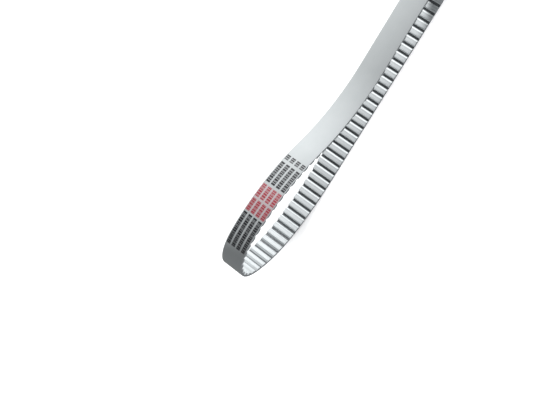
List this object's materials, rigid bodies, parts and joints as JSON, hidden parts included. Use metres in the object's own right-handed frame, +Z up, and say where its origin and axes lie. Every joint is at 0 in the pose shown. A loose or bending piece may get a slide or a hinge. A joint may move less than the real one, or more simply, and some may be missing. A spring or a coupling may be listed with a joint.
{
  "type": "timing belt",
  "caption": "Endless timing belt with trapezoidal teeth inside, a smooth printed back and steel cord in a cast band, lying as a drooping loop on a flat lower run.",
  "frame": {"origin": "on the floor, under the middle of the loop's box", "axes": "+X along the flat lower run towards the small far bend, +Y across the belt's width, +Z up from the back of the lower run into the loop"},
  "size_m": [0.3639, 0.025, 0.1303],
  "materials": {
    "polyurethane": "semi-matt cast polyurethane, light grey",
    "steel_cord": "twisted bright steel wire",
    "black_ink": "printed ink film",
    "red_ink": "printed ink film"
  },
  "bodies": {
    "root": {"belt_body": "polyurethane", "cord_turn_01": "steel_cord", "cord_turn_02": "steel_cord", "cord_turn_03": "steel_cord", "cord_turn_04": "steel_cord", "cord_turn_05": "steel_cord", "cord_turn_06": "steel_cord", "cord_turn_07": "steel_cord", "cord_turn_08": "steel_cord", "cord_turn_09": "steel_cord", "cord_turn_10": "steel_cord", "cord_turn_11": "steel_cord", "cord_turn_12": "steel_cord", "black_print_row_1": "black_ink", "red_print_row_1": "red_ink", "black_print_row_2": "black_ink", "red_print_row_2": "red_ink", "black_print_row_3": "black_ink", "red_print_row_3": "red_ink", "black_print_row_4": "black_ink", "red_print_row_4": "red_ink"}
  },
  "joints": []
}
